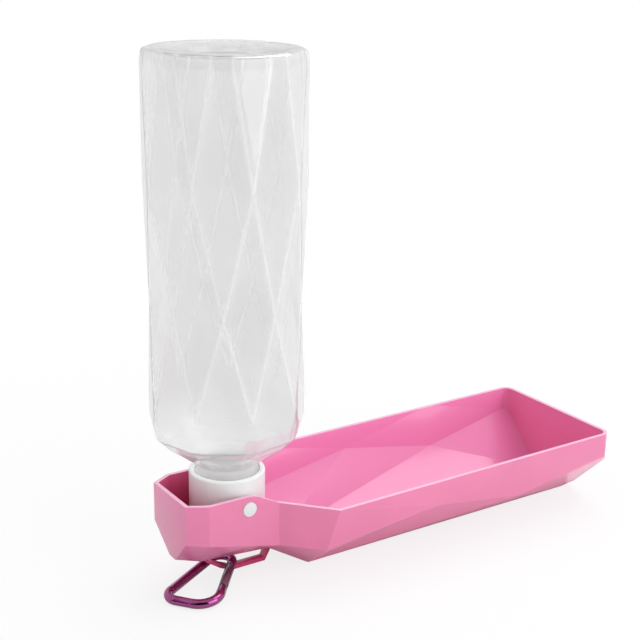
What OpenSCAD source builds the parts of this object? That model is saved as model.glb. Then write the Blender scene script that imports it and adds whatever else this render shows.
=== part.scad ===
// Dog travel water bottle: a clear bottle, base up, swivels on a folding drinking trough.
// Millimetres. X runs from the pivot along the trough, Y across it, Z up the standing bottle.
// Pieces are drawn with the pivot above X = 0 and the table at Z = 0, then placed so that the
// origin is the centre of the trough's flat underside.

/* [Bottle] */
// Number of diamond columns round the bottle
diamond_count = 9; // [7:1:12]
// Radius to the outermost diamond corners
bottle_r = 33.6; // [28:0.2:42]
// How far the corners at the waist sit inside the widest ones
waist_in = 2.7; // [1:0.1:4]
// How far the corners above the shoulder sit inside the widest ones
shoulder_in = 0.6; // [0:0.1:2]
// Height of the bottle's base above the pivot
base_h = 185.2; // [150:0.2:240]
// Height above the pivot of the widest diamond corners
wide_h = 135; // [110:1:150]
// Height above the pivot of the waist corners
waist_h = 85; // [70:1:105]
// Wall of the blown bottle
bottle_wall = 0.8; // [0.6:0.1:1.4]
// Turn of the diamond pattern about the bottle's axis, in degrees
pattern_turn = -1; // [-20:1:20]
// Depth of the dished base
base_dish = 3.4; // [2:0.2:5]

/* [Neck] */
// Outer radius of the threaded neck
neck_r = 13.3; // [11:0.1:16]
// Wall of the neck with its thread
neck_wall = 2.4; // [1.8:0.1:3]
// Length of neck held inside the cap
neck_grip = 19.5; // [14:0.5:24]
// How far the neck's bead stands out
bead_out = 0.35; // [0.2:0.05:0.4]
// Height of the neck's bead
bead_h = 1.6; // [1:0.1:2.5]

/* [Cap] */
// Wall of the white cap's skirt
cap_wall = 2.1; // [1.6:0.1:3]
// Radial gap between neck and cap bore
thread_gap = 0.6; // [0.5:0.05:1]
// Height of the cap's rim above the pivot
cap_rim_h = 11.7; // [9:0.1:15]
// Thickness of the cap's floor
cap_floor = 2; // [1.5:0.1:3]
// Rounding of the cap's rim
cap_round = 0.9; // [0.3:0.1:1]
// Outer radius of the outlet spout
spout_r = 5; // [4:0.1:7]
// Wall of the outlet spout
spout_wall = 2; // [1.2:0.1:3]
// How far the spout's rounded mouth lies outside the cap's sweep
spout_beyond = 1.8; // [1.5:0.1:5]
// Thickness of the mouth seal ring
gasket_t = 1.5; // [1:0.1:2.5]

/* [Pivot] */
// Radius of the two pivot studs
stud_r = 3.1; // [2:0.1:4]
// Radial running gap of a stud in its hole
stud_gap = 0.05; // [0.02:0.01:0.1]
// How far a stud stands proud of the collar
stud_proud = 0.4; // [0.2:0.1:1]
// Radius of the flat that centres the cap between the collar walls
thrust_r = 5; // [4.5:0.1:7]
// Side play of the cap between the collar walls
side_play = 0.3; // [0.2:0.05:0.6]

/* [Tray] */
// Wall of the moulded tray
tray_wall = 1.7; // [1.2:0.1:2.2]
// Gap between cap and collar wall
collar_gap = 1.2; // [1:0.1:2]
// Height of the collar's rim above the pivot
collar_rise = 5.66; // [4.5:0.01:9]
// Gap along the trough between the folded shoulder and the widening walls
widen_gap = 1.7; // [1:0.1:4]
// Radius of the bend where the collar's rim starts to fall
rim_bend_r = 11; // [6:0.5:16]
// Fall angle of the rim from the collar to the trough
rim_fall = 27.6; // [22:0.2:34]
// Gap between the widest bottle and the trough wall, folded
trough_side_gap = 2; // [1.5:0.1:4]
// Gap between the widest bottle and the trough floor, folded
trough_floor_gap = 1; // [0.8:0.1:3]
// Gap between the bottle's base and the end wall, folded
trough_end_gap = 2.3; // [2.2:0.1:4]
// Gap between the bottle's upper corners and the sloping wall, folded
trough_slope_gap = 0.5; // [0.45:0.05:2]
// Height of the trough's rim above the pivot at its near end, below zero when lower
rim_near = -1.2; // [-3:0.1:0]
// Height of the trough's rim above the pivot at its far end
rim_far = -0.2; // [-2:0.1:0.5]
// Plan radius of the far corners
corner_r = 5.5; // [5:0.5:12]
// How far the trough's wall leans out of true where a facet bulges
facet_bulge = 2.8; // [1:0.1:4]
// Clear height under the spout's mouth
outlet_gap = 2; // [1.5:0.1:4]

/* [Strap loop] */
// Width of the strap loop under the collar
strap_w = 3.4; // [2.5:0.1:3.8]
// Thickness of the strap loop
strap_t = 1.8; // [1.2:0.1:2.4]
// Length of the loop's level bar
strap_bar = 16.5; // [10:0.5:18]

/* [Stopper] */
// Thickness of the stopper pad at its thinnest
pad_t = 3.6; // [2.5:0.1:5]
// Width of the stopper pad
pad_w = 17; // [13:0.5:19]
// Depth of the stopper pad below the pivot
pad_drop = 8.5; // [7:0.5:10]
// Distance from the collar's rim down to the stopper pad
pad_below_rim = 2.1; // [0.5:0.1:2.5]
// Gap between the spout's mouth and the pad when folded
pad_gap = 0.3; // [0.2:0.05:0.6]
// Thickness of the two rails that hold the pad
rail_t = 1.2; // [0.8:0.1:1.5]
// Gap between the upright spout and its stop ribs
stop_gap = 0.3; // [0.2:0.05:0.6]
// Height of spout that the stop ribs overlap
stop_grip = 3; // [2:0.2:5]

/* [Carabiner] */
// Rod diameter of the carabiner
rod_d = 4; // [3:0.1:4]
// Play of the carabiner's narrow end at each side of the strap
tip_play = 1.3; // [1.2:0.1:3]
// Distance between the narrow bend and the back corner bend
back_run = 28.5; // [22:0.5:40]
// Bend radius of the back corner
back_r = 5; // [4:0.1:7]
// Bend radius of the front corner
front_r = 8.5; // [6:0.1:9]
// How far the spine leans away from the long axis, in degrees
spine_lean = 12.5; // [8:0.5:16]
// Width between the centres of the two corner bends
corner_spread = 7.2; // [4:0.1:12]
// Turn of the carabiner on the table, in degrees
carabiner_turn = 38.4; // [30:0.2:45]
// Radius of the gate's two pins
pin_r = 0.6; // [0.4:0.05:0.8]
// Thickness of the tongues that enter the gate's slots
tongue_t = 1.5; // [1:0.1:1.8]
// Gap between a tongue and its slot
tongue_gap = 0.15; // [0.1:0.05:0.3]
// Gap between the ends of rod and gate
gate_gap = 0.5; // [0.4:0.05:0.8]
// Length of straight rod and gap before the gate's hinge end
hinge_stub = 2.6; // [1.5:0.1:4]
// Length of straight rod and gap after the gate's latch end
nose_stub = 4.4; // [2:0.1:6]

/* [Hidden] */
$fn = 96;
eps = 0.01;

pink = [0.93, 0.58, 0.70];
white = [0.97, 0.97, 0.96];
clear = [0.88, 0.92, 0.95, 0.35];
magenta = [0.72, 0.15, 0.45];
steel = [0.68, 0.68, 0.70];
silicone = [0.90, 0.91, 0.90];
pink_silicone = [0.86, 0.34, 0.52];

// Cap and neck, heights from the pivot
neck_bore_r = neck_r - neck_wall;
cap_bore_r = neck_r + thread_gap;
cap_r = cap_bore_r + cap_wall;
mouth_h = cap_rim_h + 0.2 - neck_grip;
cap_well_h = mouth_h - gasket_t;
cap_end_h = cap_well_h - cap_floor;
cap_sweep_r = norm([cap_r, max(cap_rim_h, -cap_end_h)]);
spout_bore_r = spout_r - spout_wall;
spout_reach = cap_sweep_r + spout_beyond;
neck_top_h = cap_rim_h + 5.3;

// Bottle: angles and radii that keep each tall diamond flat
waist_r = bottle_r - waist_in;
shoulder_r = bottle_r - shoulder_in;
sector = 360 / diamond_count;
top_half_angle = sector * 0.1825;
edge_h = base_h - 5;
tall_share = (edge_h - wide_h) / (edge_h - waist_h);
wide_flat = bottle_r * cos(sector / 2);
edge_flat = waist_r + (wide_flat - waist_r) / (1 - tall_share);
edge_r = edge_flat / cos(top_half_angle);
dome = shoulder_r - neck_r;
foot_h = neck_top_h + dome * 1.37;
hem_h = neck_top_h + dome * 0.94;
foot_flat = shoulder_r * cos(sector / 2);
hem_flat = foot_flat + (foot_flat - waist_r) * (foot_h - hem_h) / (waist_h - foot_h);
hem_half_angle = sector * 0.3975;
hem_r = hem_flat / cos(hem_half_angle);
widest_r = max(bottle_r, edge_r, shoulder_r, hem_r);
corner_in = 2.4;
foot_ring_r = edge_r - 5.2;
base_sweep_r = max(norm([base_h, foot_ring_r]), norm([base_h - 0.5, edge_r - corner_in]));

// Rounded shoulder: height and radius of each ring between neck and facets
dome_rings = [for (p = [[0.178, 0.35], [0.457, 0.705], [0.66, 0.9]])
  [neck_top_h + dome * p[0], neck_r + dome * p[1]]];

// Tray
pivot_z = widest_r + trough_floor_gap + tray_wall;
collar_half = cap_r + collar_gap + tray_wall;
collar_fold_drop = cap_sweep_r * sqrt(2) + 1.3 + tray_wall - collar_half;
collar_run = collar_half - tray_wall - widen_gap + min([for (p = dome_rings) p[0] - p[1]]);
trough_half = widest_r + trough_side_gap + tray_wall;
trough_end = max(base_h + trough_end_gap, base_sweep_r + 0.25) + tray_wall;
floor_half = (edge_r + trough_slope_gap + tray_wall) * sqrt(2) - pivot_z;
well_z = pivot_z - spout_reach - outlet_gap - tray_wall;
collar_rim_z = pivot_z + collar_rise;
near_rim_z = pivot_z + rim_near;
far_rim_z = pivot_z + rim_far;
widen_rim_z = pivot_z - 0.6;
widen_end = collar_run + trough_half - collar_half;
floor_start = widen_end + 0.4;
floor_end = trough_end - 6.2;
collar_end = spout_reach + pad_gap + pad_t + tray_wall;
pad_rise = collar_rise - pad_below_rim;
collar_corner = collar_end - 8.5;
rest_mid = (floor_start + floor_end) / 2;

// Strap loop, in the plane of symmetry
strap_z = 0.3;
strap_left = 1.2;
strap_right = strap_left + strap_bar;

// Carabiner, in its own plane: u from the narrow end to the wide end, v towards the spine
rod_r = rod_d / 2;
tip_r = strap_w / 2 + tip_play + rod_r;
tip_c = [2, 3.3];
back_c = tip_c + back_run * [cos(spine_lean), sin(spine_lean)];
front_c = back_c + [back_r - front_r, -corner_spread];
tip_z = strap_z + strap_t + rod_r + 0.5;
far_u = max(back_c.x + back_r, front_c.x + front_r);
carabiner_drop = asin((tip_z - rod_r) / far_u);
carabiner_at = [0.6, -0.6];

// Basic helpers
function flat2(v) = [v.x, v.y];
function unit(v) = v / norm(v);
function right_of(a, b) = let (d = unit(flat2(b) - flat2(a))) [d.y, -d.x];
function blend(a, b, t) = a + (b - a) * t;
function polar(r, a) = [r * cos(a), r * sin(a)];

module place() {
  translate([-rest_mid, 0, 0]) children();
}

module at_pivot() {
  translate([0, 0, pivot_z]) children();
}

// Half outlines of the tray at its rim, its facet line and its floor, from the end wall of the
// collar to the end wall of the trough. Three corners of the floor lie close together, so that the
// facets above them run to one point.
arc_steps = 3;
fall_drop = collar_rim_z - widen_rim_z;
arc_drop = rim_bend_r * (1 - cos(rim_fall));
fall_start = collar_run - rim_bend_r * sin(rim_fall) - (fall_drop - arc_drop) / tan(rim_fall);
fold_low_z = max(well_z + 4.8, pivot_z - 20.2);
fold_high_z = trough_half - 0.5 - floor_half;
function fall_x(i) = fall_start + rim_bend_r * sin(rim_fall * i / (arc_steps - 1));
function fall_z(i) = collar_rim_z - rim_bend_r * (1 - cos(rim_fall * i / (arc_steps - 1)));
function rim_z(x) = blend(near_rim_z, far_rim_z, (x - widen_end) / (trough_end - widen_end));
function collar_share(x) = (x + collar_corner) / (collar_run + collar_corner);

function rim_line() = concat(
  [[-collar_end, collar_half - 4.9, collar_rim_z], [-collar_corner, collar_half, collar_rim_z]],
  [for (i = [0 : arc_steps - 1]) [fall_x(i), collar_half, fall_z(i)]],
  [[collar_run, collar_half, widen_rim_z], [widen_end, trough_half, near_rim_z]],
  [for (x = [waist_h, wide_h, floor_end, trough_end]) [x, trough_half, rim_z(x)]]);

function fold_line() = concat(
  [[-collar_end, collar_half - 4.9, pivot_z - collar_fold_drop + 0.8],
   [-collar_corner, collar_half, pivot_z - collar_fold_drop]],
  [for (i = [0 : arc_steps - 1])
    [fall_x(i), collar_half,
     blend(pivot_z - collar_fold_drop, fold_low_z, collar_share(fall_x(i)))]],
  [[collar_run, collar_half, fold_low_z],
   [widen_end - 3.8, trough_half - 3.8, fold_low_z],
   [waist_h, trough_half - 0.5, fold_high_z],
   [wide_h, trough_half - 0.5 - facet_bulge, fold_low_z - 0.7],
   [floor_end, trough_half - 0.5, fold_high_z],
   [trough_end, trough_half - 0.5, fold_high_z]]);

function floor_line() = concat(
  [[-collar_end + 1, 2.5, well_z + 2.2], [-collar_corner + 2.5, 5.6, well_z]],
  [for (i = [0 : arc_steps - 1])
    [fall_x(i), blend(5.6, 10, collar_share(fall_x(i))), well_z]],
  [[collar_run, 10, well_z]],
  [for (x = [floor_start, floor_start + 1, floor_start + 2, floor_end]) [x, floor_half, 0]],
  [[trough_end, floor_half + 2.5, 2.5]]);

// Moves a half outline inwards by w, each corner to where its two moved sides meet
function inset_line(line, w, rise) = [for (i = [0 : len(line) - 1])
  let (p = line[i],
       a = i == 0 ? [p.x, -p.y] : line[i - 1],
       b = i == len(line) - 1 ? [p.x, -p.y] : line[i + 1],
       n1 = right_of(a, p),
       n2 = right_of(p, b),
       k = w / (1 + n1 * n2))
  [p.x + k * (n1.x + n2.x), p.y + k * (n1.y + n2.y), p.z + rise]];

slope_share = sqrt(2) - 1;
function tray_rings(w, lift) =
  let (rim = inset_line(rim_line(), w, lift),
       fold = inset_line(fold_line(), w, w * slope_share),
       ground = inset_line(floor_line(), w * slope_share, w))
  [for (i = [0 : len(rim) - 1])
    [rim[i], fold[i], ground[i], flip(ground[i]), flip(fold[i]), flip(rim[i])]];
function flip(p) = [p.x, -p.y, p.z];

// Triangles between two six-cornered rings. The diagonal of each wall facet changes side from
// one ring to the next, which makes the diamond pattern.
function ring_side(i, j, swap) =
  let (a = 6 * i + j, b = 6 * i + (j + 1) % 6, c = 6 * (i + 1) + (j + 1) % 6, d = 6 * (i + 1) + j)
  swap ? [[a, b, d], [b, c, d]] : [[a, b, c], [a, c, d]];

module ring_solid(rings) {
  count = len(rings);
  sides = [for (i = [0 : count - 2], j = [0 : 5])
    let (even = i % 2 == 0, upper = j < 3)
    each ring_side(i, j, upper ? !even : even)];
  last = 6 * (count - 1);
  near_cap = [[0, 5, 4], [0, 4, 1], [1, 4, 3], [1, 3, 2]];
  far_cap = [[5, 0, 4], [4, 0, 1], [4, 1, 3], [3, 1, 2]];
  far_faces = [for (f = far_cap) [for (k = f) k + last]];
  polyhedron([for (r = rings) each r], concat(sides, near_cap, far_faces), convexity = 6);
}

// Plan of the trough with its rounded far corners, made smaller by w
module corner_plan(w) {
  r = corner_r - w;
  half = trough_half - w + 2 * eps;
  far = trough_end - w + 2 * eps;
  translate([0, 0, -1])
    linear_extrude(collar_rim_z + 4)
      union() {
        translate([-collar_end - 1, -half - 5])
          square([collar_end + 1 + far - r, 2 * half + 10]);
        translate([0, -half + r])
          square([far, 2 * (half - r)]);
        for (s = [-1, 1])
          translate([far - r, s * (half - r)])
            circle(r);
      }
}

// Height of the tray's sloping underside at x, and a little more
function underside_z(x) = well_z * (floor_start - x) / (floor_start - collar_run) + 0.55;

// Outer and inner edge of the strap loop, seen from the side
function strap_outline(t) = [
  [-collar_corner + 3.2 + t * 1.4, well_z + 0.8],
  [-collar_corner + 3.2 + t * 1.4, well_z],
  [strap_left - 12.1 + t * 0.6, strap_z + 6.8 + t * 0.5],
  [strap_left - 5.4 + t * 0.3, strap_z + 2.3 + t * 0.9],
  [strap_left, strap_z + t],
  [strap_right - t * 0.4, strap_z + t],
  [strap_right + 2.3 - t, strap_z + 4 + t * 0.2],
  [strap_right + 3.6 - t * 1.6, underside_z(strap_right + 3.6)]];

module strap() {
  translate([0, strap_w / 2, 0])
    rotate([90, 0, 0])
      linear_extrude(strap_w)
        difference() {
          polygon(strap_outline(0));
          polygon(concat(strap_outline(strap_t),
                         [[strap_right - 2.9 + eps, well_z + 3], [-collar_corner + 9, well_z + 3]]));
        }
}

// Rails beside the stopper pad, open at the top
module pad_rails() {
  for (s = [-1, 1])
    translate([-collar_end + tray_wall - eps, s * (pad_w / 2 + 0.1 + rail_t / 2) - rail_t / 2,
               pivot_z - pad_drop])
      cube([2, rail_t, pad_drop + pad_rise]);
}

// Two ribs on the collar's floor that the spout leans on when the bottle stands up
module stop_ribs() {
  for (s = [-1, 1])
    translate([spout_r + stop_gap, s * 3.2 - 0.8, well_z + 0.5])
      cube([2.4, 1.6, outlet_gap + stop_grip + tray_wall - 0.5]);
}

module tray() {
  color(pink)
    place()
      difference() {
        union() {
          difference() {
            intersection() {
              ring_solid(tray_rings(0, 0));
              corner_plan(0);
            }
            intersection() {
              ring_solid(tray_rings(tray_wall, 1));
              corner_plan(tray_wall);
            }
          }
          strap();
          pad_rails();
          stop_ribs();
        }
        at_pivot()
          rotate([90, 0, 0])
            cylinder(r = stud_r + stud_gap, h = 2 * collar_half + 4, center = true);
      }
}

// Seal pad on the collar's end wall, hollowed round the pivot where the spout's mouth wipes it
module stopper_pad() {
  color(pink_silicone)
    place()
      at_pivot()
        difference() {
          translate([-collar_end + tray_wall, -pad_w / 2, -pad_drop])
            cube([pad_t + 1.6, pad_w, pad_drop + pad_rise]);
          rotate([90, 0, 0])
            cylinder(r = spout_reach + pad_gap, h = pad_w + 2, center = true, $fn = 180);
          for (s = [-1, 1])
            translate([-spout_reach - 1, s * (pad_w / 2), -pad_drop - 1])
              rotate([0, 0, 45])
                translate([-1, -1, 0])
                  cube([2, 2, pad_drop + pad_rise + 2]);
        }
}

module cap_profile() {
  difference() {
    union() {
      translate([0, cap_end_h])
        square([cap_r, cap_rim_h - cap_round - cap_end_h]);
      translate([0, cap_rim_h - cap_round - eps])
        square([cap_r - cap_round, cap_round + eps]);
      translate([cap_r - cap_round, cap_rim_h - cap_round])
        circle(cap_round, $fn = 48);
      translate([0, -spout_reach])
        square([spout_r, spout_reach + cap_end_h + eps]);
    }
    translate([-1, cap_well_h])
      square([cap_bore_r + 1, cap_rim_h - cap_well_h + 1]);
    translate([-1, -spout_reach - 1])
      square([spout_bore_r + 1, spout_reach + 2]);
  }
}

module screw_cap() {
  color(white)
    place()
      at_pivot()
        union() {
          intersection() {
            rotate_extrude()
              cap_profile();
            union() {
              translate([-cap_r - 1, -cap_r - 1, cap_end_h])
                cube([2 * cap_r + 2, 2 * cap_r + 2, cap_rim_h - cap_end_h + 1]);
              rotate([90, 0, 0])
                cylinder(r = spout_reach, h = 2 * cap_r, center = true, $fn = 180);
            }
          }
          difference() {
            rotate([90, 0, 0])
              union() {
                cylinder(r = stud_r, h = 2 * (collar_half + stud_proud), center = true);
                cylinder(r = thrust_r, h = 2 * (collar_half - tray_wall - side_play), center = true);
              }
            cylinder(r = (cap_r + cap_bore_r) / 2, h = 4 * thrust_r, center = true);
          }
        }
}

module cap_gasket() {
  color(silicone)
    place()
      at_pivot()
        translate([0, 0, cap_well_h])
          difference() {
            cylinder(r = neck_r - 0.2, h = gasket_t);
            translate([0, 0, -1])
              cylinder(r = neck_bore_r - 1.4, h = gasket_t + 2);
          }
}

// One ring of the bottle: pairs of corners, each with its own radius and its angle from the middle
// of its diamond column
function pair_ring(h, r1, a1, r2, a2) = [for (k = [0 : diamond_count - 1])
  each [concat(polar(r1, pattern_turn + k * sector + a1), h),
        concat(polar(r2, pattern_turn + k * sector + a2), h)]];
function even_ring(h, r) = pair_ring(h, r, 0, r, sector / 2);

// The bottle's corner rings from the neck to the dished base, moved in by t
function bottle_rings(t) = [
  even_ring(neck_top_h - 2.6, neck_r - t),
  even_ring(neck_top_h - 1, neck_r + 1.2 - t),
  even_ring(dome_rings[0][0] + t * 0.8, dome_rings[0][1] - t * 0.6),
  pair_ring(dome_rings[1][0] + t * 0.7, dome_rings[1][1] - t * 0.7, -hem_half_angle,
            dome_rings[1][1] - t * 0.7, hem_half_angle),
  pair_ring(dome_rings[2][0] + t * 0.4, dome_rings[2][1] - t, -hem_half_angle,
            dome_rings[2][1] - t, hem_half_angle),
  pair_ring(hem_h, hem_r - t, -hem_half_angle, hem_r - t, hem_half_angle),
  pair_ring(foot_h, foot_flat - t, 0, shoulder_r - t, sector / 2),
  pair_ring(waist_h, waist_r - t, 0, (waist_r - t) * cos(sector / 2), sector / 2),
  pair_ring(wide_h, wide_flat - t, 0, bottle_r - t, sector / 2),
  pair_ring(edge_h, edge_r - t, -top_half_angle, edge_r - t, top_half_angle),
  pair_ring(base_h - 2 - t * 0.3, edge_r - 0.7 - t, -top_half_angle, edge_r - 0.7 - t, top_half_angle),
  pair_ring(base_h - 0.5 - t * 0.8, edge_r - corner_in - t * 0.6, -top_half_angle,
            edge_r - corner_in - t * 0.6, top_half_angle),
  even_ring(base_h - t, foot_ring_r),
  even_ring(base_h - 0.9 - t, edge_r - 9),
  even_ring(base_h - base_dish + 0.5 - t, 12)];

// Places in that list of the rings where the triangles' diagonals change side
hem_ring = 5;
foot_ring = 6;
waist_ring = 7;
edge_ring = 11;

// Whether the diagonal from corner k of ring i leans forward, to corner k + 1 of the next ring.
// At the foot and the waist it changes with each corner, which folds the skin into diamonds.
function leans_forward(i, k) =
  i == foot_ring ? k % 2 == 1 :
  i == waist_ring ? k % 2 == 0 :
  i != hem_ring && i != edge_ring;

function band(i) = let (m = 2 * diamond_count)
  [for (k = [0 : m - 1])
    let (a = i * m + k, b = i * m + (k + 1) % m, c = (i + 1) * m + (k + 1) % m, d = (i + 1) * m + k)
    each (leans_forward(i, k) ? [[a, c, b], [a, d, c]] : [[a, d, b], [b, d, c]])];

module bottle_skin(t) {
  rings = bottle_rings(t);
  m = 2 * diamond_count;
  last = len(rings) - 1;
  floor_fan = [for (k = [1 : m - 2]) [0, k, k + 1]];
  dish_fan = [for (k = [1 : m - 2]) [last * m, last * m + k + 1, last * m + k]];
  bands = [for (i = [0 : last - 1]) each band(i)];
  polyhedron([for (r = rings) each r], concat(floor_fan, dish_fan, bands), convexity = 6);
}

module neck_profile() {
  bead_z = cap_rim_h - 0.4 - bead_h;
  difference() {
    union() {
      translate([0, mouth_h])
        square([neck_r - 0.5, neck_top_h - 1.2 - mouth_h]);
      translate([0, mouth_h + 0.5])
        square([neck_r, neck_top_h - 2 - mouth_h]);
      translate([0, bead_z])
        square([neck_r + bead_out, bead_h]);
    }
    translate([-1, mouth_h - 1])
      square([neck_bore_r + 1, neck_top_h + 20]);
  }
}

module bottle() {
  color(clear)
    place()
      at_pivot()
        difference() {
          union() {
            bottle_skin(0);
            rotate_extrude()
              neck_profile();
          }
          bottle_skin(bottle_wall);
          translate([0, 0, mouth_h - 1])
            cylinder(r = neck_bore_r, h = neck_top_h + 2 - mouth_h);
        }
}

// Angle, round the bends at c1 and c2, of the ends of the straight rod that joins them: side is 1
// for the rod on the left of the line from c1 to c2 and -1 for the rod on its right
function outer_angle(c1, r1, c2, r2, side) =
  let (d = c2 - c1) atan2(d.y, d.x) + side * acos((r1 - r2) / norm(d));
function touch(c, r, a) = c + polar(r, a);
spine_angle = outer_angle(tip_c, tip_r, back_c, back_r, 1);
gate_angle = outer_angle(tip_c, tip_r, front_c, front_r, -1);
gate_from = touch(tip_c, tip_r, gate_angle);
gate_to = touch(front_c, front_r, gate_angle);
gate_dir = unit(gate_to - gate_from);
gate_turn = atan2(gate_dir.y, gate_dir.x);
gate_len = norm(gate_to - gate_from) - hinge_stub - nose_stub;
hinge_in = rod_r - 0.05;
latch_in = 1.7;

// A straight rod from p to q, a hair thinner than the bends and let into them
rod_lap = 0.3;
module rod_run(p, q, lap_end = rod_lap) {
  d = q - p;
  translate([p.x, p.y, 0])
    rotate([0, 0, atan2(d.y, d.x)])
      rotate([0, 90, 0])
        translate([0, 0, -rod_lap])
          cylinder(r = rod_r - 0.03, h = norm(d) + rod_lap + lap_end, $fn = 48);
}

module rod_bend(c, r, from, sweep) {
  translate([c.x, c.y, 0])
    rotate([0, 0, from])
      rotate_extrude(angle = sweep)
        translate([r, 0])
          circle(rod_r, $fn = 48);
}

// Puts the carabiner's own plane on the table, its narrow end over the strap loop's bar
module carabiner_place() {
  place()
    translate([carabiner_at.x, carabiner_at.y, tip_z])
      rotate([0, 0, carabiner_turn + 180])
        rotate([0, carabiner_drop, 0])
          mirror([0, 1, 0])
            children();
}

// Lays children along the gate: x runs from the hinge end to the latch end
module along_gate() {
  translate([gate_from.x, gate_from.y, 0])
    rotate([0, 0, gate_turn])
      translate([hinge_stub, 0, 0])
        children();
}

module tongue(x, len) {
  intersection() {
    translate([x, -rod_r, -tongue_t / 2])
      cube([len, rod_d, tongue_t]);
    rotate([0, 90, 0])
      translate([0, 0, x - 1])
        cylinder(r = rod_r - 0.35, h = len + 2, $fn = 48);
  }
}

module carabiner_frame() {
  color(magenta)
    carabiner_place()
      difference() {
        union() {
          rod_bend(tip_c, tip_r, spine_angle, 360 + gate_angle - spine_angle);
          rod_run(touch(tip_c, tip_r, spine_angle), touch(back_c, back_r, spine_angle));
          rod_bend(back_c, back_r, 0, spine_angle);
          rod_run(touch(back_c, back_r, 0), touch(front_c, front_r, 0));
          rod_bend(front_c, front_r, gate_angle, -gate_angle);
          rod_run(gate_from, gate_from + gate_dir * (hinge_stub - gate_gap), 0);
          rod_run(gate_to, gate_to - gate_dir * (nose_stub - gate_gap), 0);
          along_gate() {
            tongue(-gate_gap - 0.4, gate_gap + 0.4 + hinge_in + 1.4);
            tongue(gate_len - latch_in - 1.3, latch_in + 1.3 + gate_gap + 0.4);
          }
        }
        along_gate() {
          translate([hinge_in, 0, 0])
            cylinder(r = pin_r + 0.05, h = rod_d, center = true, $fn = 32);
          translate([gate_len - latch_in, 0, 0])
            cylinder(r = pin_r + 0.25, h = rod_d, center = true, $fn = 32);
          translate([gate_len - latch_in - pin_r - 0.25, 0, -rod_r])
            cube([2 * pin_r + 0.5, rod_r, rod_d]);
        }
      }
}

module carabiner_gate() {
  slot = tongue_t + 2 * tongue_gap;
  color(steel)
    carabiner_place()
      along_gate()
        difference() {
          intersection() {
            rotate([0, 90, 0])
              cylinder(r = rod_r - 0.05, h = gate_len, $fn = 48);
            union() {
              translate([hinge_in, 0, 0])
                cylinder(r = hinge_in, h = rod_d, center = true, $fn = 48);
              translate([hinge_in, -rod_r, -rod_r])
                cube([gate_len, rod_d, rod_d]);
            }
          }
          translate([-1, -rod_r - 1, -slot / 2])
            cube([hinge_in + 1.9 + 1, rod_d + 2, slot]);
          translate([gate_len - latch_in - 1.8, -rod_r - 1, -slot / 2])
            cube([latch_in + 2.8, rod_d + 2, slot]);
          for (x = [hinge_in, gate_len - latch_in])
            translate([x, 0, 0])
              cylinder(r = pin_r + 0.01, h = rod_d + 2, center = true, $fn = 32);
          translate([hinge_in + 1.5, 0, 0])
            rotate([0, 90, 0])
              cylinder(r = 1.25, h = 8.4, $fn = 32);
        }
}

module gate_pin(x) {
  color(steel)
    carabiner_place()
      along_gate()
        translate([x, 0, 0])
          cylinder(r = pin_r, h = rod_d - 0.3, center = true, $fn = 32);
}

module gate_hinge_pin() {
  gate_pin(hinge_in);
}

module gate_latch_pin() {
  gate_pin(gate_len - latch_in);
}

// The coil spring hidden in the gate, as a plain tube
module gate_spring() {
  color(steel)
    carabiner_place()
      along_gate()
        translate([hinge_in + 2.2, 0, 0])
          rotate([0, 90, 0])
            difference() {
              cylinder(r = 1.1, h = 7.4, $fn = 32);
              translate([0, 0, -1])
                cylinder(r = 0.7, h = 10, $fn = 32);
            }
}

tray();
stopper_pad();
screw_cap();
cap_gasket();
bottle();
carabiner_frame();
carabiner_gate();
gate_hinge_pin();
gate_latch_pin();
gate_spring();
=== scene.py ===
import math

import bmesh
import bpy
import numpy as np
from mathutils import Matrix, Vector
from mathutils.bvhtree import BVHTree


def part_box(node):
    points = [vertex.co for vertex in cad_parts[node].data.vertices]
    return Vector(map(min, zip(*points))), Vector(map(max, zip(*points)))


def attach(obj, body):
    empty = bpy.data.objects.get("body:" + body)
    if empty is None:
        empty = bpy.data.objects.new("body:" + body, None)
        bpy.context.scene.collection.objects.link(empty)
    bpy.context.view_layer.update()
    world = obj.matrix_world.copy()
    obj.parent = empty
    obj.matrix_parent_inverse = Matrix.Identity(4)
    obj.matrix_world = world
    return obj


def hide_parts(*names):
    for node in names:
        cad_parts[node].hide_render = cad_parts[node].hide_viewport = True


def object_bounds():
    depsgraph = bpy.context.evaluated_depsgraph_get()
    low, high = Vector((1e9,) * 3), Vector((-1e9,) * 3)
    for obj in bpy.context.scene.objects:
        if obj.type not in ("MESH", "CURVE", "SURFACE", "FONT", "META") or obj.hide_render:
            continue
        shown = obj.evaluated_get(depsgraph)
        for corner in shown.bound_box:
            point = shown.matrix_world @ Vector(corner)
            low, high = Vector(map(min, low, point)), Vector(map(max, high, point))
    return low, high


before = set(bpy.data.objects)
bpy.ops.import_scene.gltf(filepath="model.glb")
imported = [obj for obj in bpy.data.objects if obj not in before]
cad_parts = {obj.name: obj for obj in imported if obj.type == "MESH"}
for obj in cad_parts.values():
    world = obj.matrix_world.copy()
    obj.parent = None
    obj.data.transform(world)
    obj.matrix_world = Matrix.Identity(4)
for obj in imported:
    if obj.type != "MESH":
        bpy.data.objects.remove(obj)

CAD_BOX = [[float(v) for v in corner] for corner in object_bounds()]
MM = 0.001
TAU = 2 * math.pi

# Places shared with the frame, in metres. The pivot is the axis of the cap's two studs, and the
# cap's rim is a fixed height above it.
CAP_LOW, CAP_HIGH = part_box("screw_cap")
TRAY_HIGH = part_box("tray")[1]
CAP_RIM_H = 11.7 * MM
AXIS_X = (CAP_LOW[0] + CAP_HIGH[0]) / 2
PIVOT_Z = CAP_HIGH[2] - CAP_RIM_H
BASE_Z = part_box("bottle")[1][2]
RIM_Z = TRAY_HIGH[2]


# Node helpers

# Which sockets of a Mix node hold its two colours and their blend
MIX_LOW = 6
MIX_HIGH = 7
MIX_RESULT = 2

# The part of a noise's values that a ramp stretches over its two colours
RAMP_START = 0.3
RAMP_END = 0.7


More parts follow.
